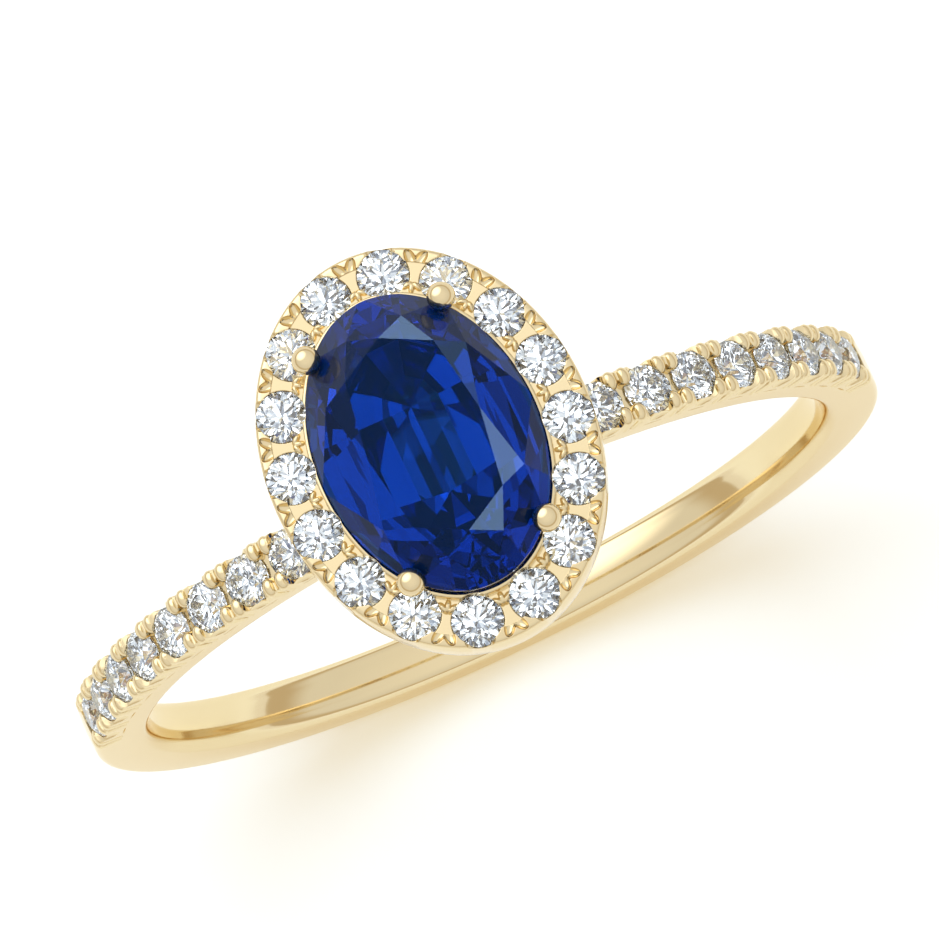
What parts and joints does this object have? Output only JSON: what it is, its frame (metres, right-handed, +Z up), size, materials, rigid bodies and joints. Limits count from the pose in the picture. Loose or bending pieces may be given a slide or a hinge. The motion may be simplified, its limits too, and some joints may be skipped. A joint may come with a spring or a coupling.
{
  "type": "engagement ring",
  "caption": "Yellow gold engagement ring: an oval blue sapphire in four ball claws, a round diamond halo and diamond-set shoulders on a plain band.",
  "frame": {"origin": "centre of the finger hole, midway between the two sides of the band", "axes": "+Y along the finger, +Z up through the head, +X across the hand"},
  "size_m": [0.0202, 0.0094, 0.0247],
  "materials": {
    "gold": "polished 14 karat yellow gold",
    "diamond": "polished facets, colourless",
    "sapphire": "polished facets, deep royal blue"
  },
  "bodies": {
    "root": {"center_sapphire": "sapphire", "claw_back_left": "gold", "claw_back_right": "gold", "claw_front_left": "gold", "claw_front_right": "gold", "gallery_rail": "gold", "halo_diamond_01": "diamond", "halo_diamond_02": "diamond", "halo_diamond_03": "diamond", "halo_diamond_04": "diamond", "halo_diamond_05": "diamond", "halo_diamond_06": "diamond", "halo_diamond_07": "diamond", "halo_diamond_08": "diamond", "halo_diamond_09": "diamond", "halo_diamond_10": "diamond", "halo_diamond_11": "diamond", "halo_diamond_12": "diamond", "halo_diamond_13": "diamond", "halo_diamond_14": "diamond", "halo_diamond_15": "diamond", "halo_diamond_16": "diamond", "halo_frame": "gold", "head_base": "gold", "shank": "gold", "shoulder_diamond_left_1": "diamond", "shoulder_diamond_left_2": "diamond", "shoulder_diamond_left_3": "diamond", "shoulder_diamond_left_4": "diamond", "shoulder_diamond_left_5": "diamond", "shoulder_diamond_left_6": "diamond", "shoulder_diamond_left_7": "diamond", "shoulder_diamond_left_8": "diamond", "shoulder_diamond_right_1": "diamond", "shoulder_diamond_right_2": "diamond", "shoulder_diamond_right_3": "diamond", "shoulder_diamond_right_4": "diamond", "shoulder_diamond_right_5": "diamond", "shoulder_diamond_right_6": "diamond", "shoulder_diamond_right_7": "diamond", "shoulder_diamond_right_8": "diamond"}
  },
  "joints": []
}
